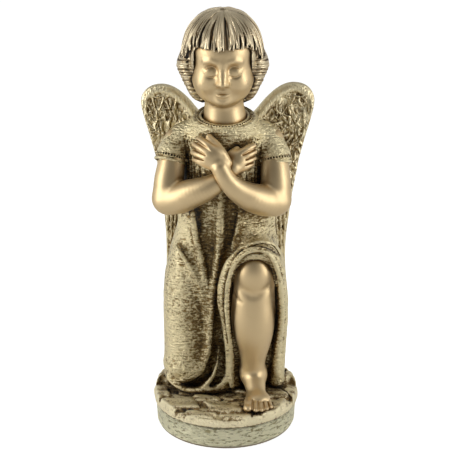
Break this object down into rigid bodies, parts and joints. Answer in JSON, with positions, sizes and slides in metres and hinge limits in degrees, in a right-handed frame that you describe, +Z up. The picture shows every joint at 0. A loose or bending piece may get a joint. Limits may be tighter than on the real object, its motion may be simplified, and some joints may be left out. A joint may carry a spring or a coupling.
{
  "type": "kneeling angel statuette",
  "caption": "Free-standing statuette of a kneeling winged child in a robe, arms crossed on the chest, on an oval stone-look plinth; decoration for a shelf, garden or memorial.",
  "frame": {"origin": "centre of the plinth's underside, on the felt's lower face", "axes": "+Z up through the crown of the head; the figure faces -Y; its own right side is -X"},
  "size_m": [0.1524, 0.151, 0.3682],
  "materials": {
    "skin_gold": "satin antique gold paint on cast resin, bare skin",
    "hair_gold": "satin antique gold with dark wash between the locks",
    "robe_gold": "satin antique gold, stippled weave, dark wash in the folds",
    "feather_gold": "satin antique gold with dark wash between the feathers",
    "stone_gold": "satin antique gold over rough stones, dark wash in the joints",
    "plinth_gold": "brushed pale greenish gold",
    "raw_resin": "matte unpainted cast resin",
    "felt": "matte tan felt",
    "dowel_steel": "satin drawn steel"
  },
  "bodies": {
    "root": {"plinth_drum": "plinth_gold", "closing_plate": "raw_resin", "felt_sheet": "felt", "rock_slab": "stone_gold", "robe_skirt": "robe_gold", "robe_bodice": "robe_gold", "head": "skin_gold", "right_arm": "skin_gold", "left_arm": "skin_gold", "left_leg": "skin_gold", "right_foot": "skin_gold", "right_wing": "feather_gold", "left_wing": "feather_gold", "neck_dowel": "dowel_steel", "waist_dowels": "dowel_steel", "arm_dowels": "dowel_steel", "wing_dowels": "dowel_steel", "leg_dowels": "dowel_steel"}
  },
  "joints": []
}
